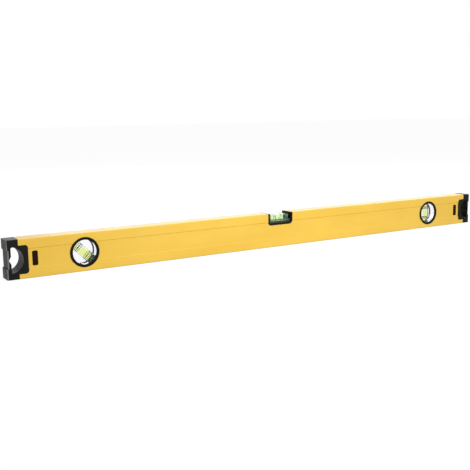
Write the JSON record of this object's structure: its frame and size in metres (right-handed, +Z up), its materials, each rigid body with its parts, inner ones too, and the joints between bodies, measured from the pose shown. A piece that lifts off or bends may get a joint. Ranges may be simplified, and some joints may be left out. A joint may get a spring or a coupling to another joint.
{
  "type": "spirit level",
  "caption": "Long box-beam spirit level with plumb, 45 degree and top-read level vials, snap-in end caps and hang holes.",
  "frame": {"origin": "centre of the bottom measuring face", "axes": "+X along the beam to the plumb-vial end, -Y the front that the viewer faces, +Z up to the measuring face with the level vial"},
  "size_m": [1.002, 0.0298, 0.062],
  "materials": {
    "yellow_coat": "golden yellow powder coat over extruded aluminium, satin with a very fine orange peel",
    "bezel_black": "black moulded ABS, semi-gloss",
    "clear_acrylic": "clear cast acrylic, polished",
    "green_liquid": "lime green vial liquid",
    "line_black": "black printed ring",
    "plug_green": "dark green sealing plug",
    "bubble": "air bubble in liquid",
    "frame_black": "black moulded ABS, semi-gloss",
    "cap_black": "black moulded plastic, fine spark texture, slightly worn corners",
    "latch_dark": "black moulded plastic"
  },
  "bodies": {
    "level": {"beam": "yellow_coat", "left_ring_front": "bezel_black", "left_ring_rear": "bezel_black", "left_disc": "clear_acrylic", "left_liquid": "green_liquid", "left_lines": "line_black", "left_plug": "plug_green", "right_ring_front": "bezel_black", "right_ring_rear": "bezel_black", "right_disc": "clear_acrylic", "right_liquid": "green_liquid", "right_lines": "line_black", "right_plug": "plug_green", "level_frame": "frame_black", "level_block": "clear_acrylic", "level_liquid": "green_liquid", "level_lines": "line_black", "level_plug": "plug_green"},
    "left_cap_body": {"left_cap": "cap_black"},
    "right_cap_body": {"right_cap": "cap_black"},
    "left_latch_front_body": {"left_latch_front": "latch_dark"},
    "left_latch_rear_body": {"left_latch_rear": "latch_dark"},
    "right_latch_front_body": {"right_latch_front": "latch_dark"},
    "right_latch_rear_body": {"right_latch_rear": "latch_dark"},
    "left_bubble_body": {"left_bubble": "bubble"},
    "right_bubble_body": {"right_bubble": "bubble"},
    "level_bubble_body": {"level_bubble": "bubble"}
  },
  "joints": [
    {"name": "left_cap_pull", "type": "slide", "parent": "level", "child": "left_cap_body", "axis": [-1, 0, 0], "range_m": [0, 0.05], "deforming": ["left_latch_front", "left_latch_rear"]},
    {"name": "left_latch_front_press", "type": "slide", "parent": "left_cap_body", "child": "left_latch_front_body", "axis": [0, 1, 0], "range_m": [0, 0.002], "stiffness_N_per_m": 400},
    {"name": "left_latch_rear_press", "type": "slide", "parent": "left_cap_body", "child": "left_latch_rear_body", "axis": [0, -1, 0], "range_m": [0, 0.002], "stiffness_N_per_m": 400},
    {"name": "right_cap_pull", "type": "slide", "parent": "level", "child": "right_cap_body", "axis": [1, 0, 0], "range_m": [0, 0.05], "deforming": ["right_latch_front", "right_latch_rear"]},
    {"name": "right_latch_front_press", "type": "slide", "parent": "right_cap_body", "child": "right_latch_front_body", "axis": [0, 1, 0], "range_m": [0, 0.002], "stiffness_N_per_m": 400},
    {"name": "right_latch_rear_press", "type": "slide", "parent": "right_cap_body", "child": "right_latch_rear_body", "axis": [0, -1, 0], "range_m": [0, 0.002], "stiffness_N_per_m": 400},
    {"name": "level_bubble_run", "type": "slide", "parent": "level", "child": "level_bubble_body", "axis": [1, 0, 0], "range_m": [-0.0106, 0.0081], "stiffness_N_per_m": 1},
    {"name": "left_bubble_run", "type": "slide", "parent": "level", "child": "left_bubble_body", "axis": [-0.7071, 0, 0.7071], "range_m": [-0.0188, 0], "stiffness_N_per_m": 2, "springref_m": 0.03},
    {"name": "right_bubble_run", "type": "slide", "parent": "level", "child": "right_bubble_body", "axis": [0, 0, 1], "range_m": [-0.0188, 0], "stiffness_N_per_m": 2, "springref_m": 0.03}
  ]
}
